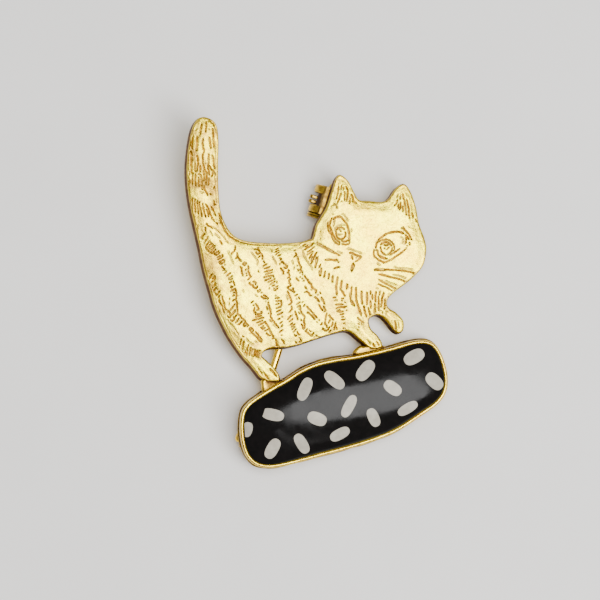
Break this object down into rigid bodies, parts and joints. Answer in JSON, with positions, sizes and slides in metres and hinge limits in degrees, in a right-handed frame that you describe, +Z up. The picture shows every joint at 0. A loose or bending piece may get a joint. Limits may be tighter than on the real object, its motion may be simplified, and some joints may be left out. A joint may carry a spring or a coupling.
{
  "type": "figural animal brooch",
  "caption": "Flat engraved gilt cat standing on a long domed black stone in a bezel, with a hinged pin and a turning safety catch behind.",
  "frame": {"origin": "middle of the brooch's outline seen from above, on the surface that it lies on with its back down", "axes": "+X to the right of the face, +Y from the stone towards the tip of the tail, +Z up from the surface"},
  "size_m": [0.0352, 0.047, 0.0091],
  "materials": {
    "gold_plate": "satin gilt, worn bright along its edges, with darker engraved lines",
    "black_stone": "high gloss",
    "white_grain": "semi-gloss, flush with the stone",
    "pin_gold": "polished gilt wire and findings"
  },
  "bodies": {
    "brooch": {"cat_setting": "gold_plate", "cabochon": "black_stone", "dash_01": "white_grain", "dash_02": "white_grain", "dash_03": "white_grain", "dash_04": "white_grain", "dash_05": "white_grain", "dash_06": "white_grain", "dash_07": "white_grain", "dash_08": "white_grain", "dash_09": "white_grain", "dash_10": "white_grain", "dash_11": "white_grain", "dash_12": "white_grain", "dash_13": "white_grain", "dash_14": "white_grain", "dash_15": "white_grain", "hinge_rivet": "pin_gold"},
    "pin": {"pin_stem": "pin_gold"},
    "catch": {"catch_sleeve": "pin_gold"}
  },
  "joints": [
    {"name": "pin_swing", "type": "hinge", "parent": "brooch", "child": "pin", "pos_m": [-0.00909, -0.01965, 0.00139], "axis": [-0.9437, 0.2975, 0.1447], "range_deg": [0, 100]},
    {"name": "catch_turn", "type": "hinge", "parent": "brooch", "child": "catch", "pos_m": [0.00105, 0.01219, 0.00201], "axis": [-0.3032, -0.9527, -0.0186], "range_deg": [0, 90]}
  ]
}
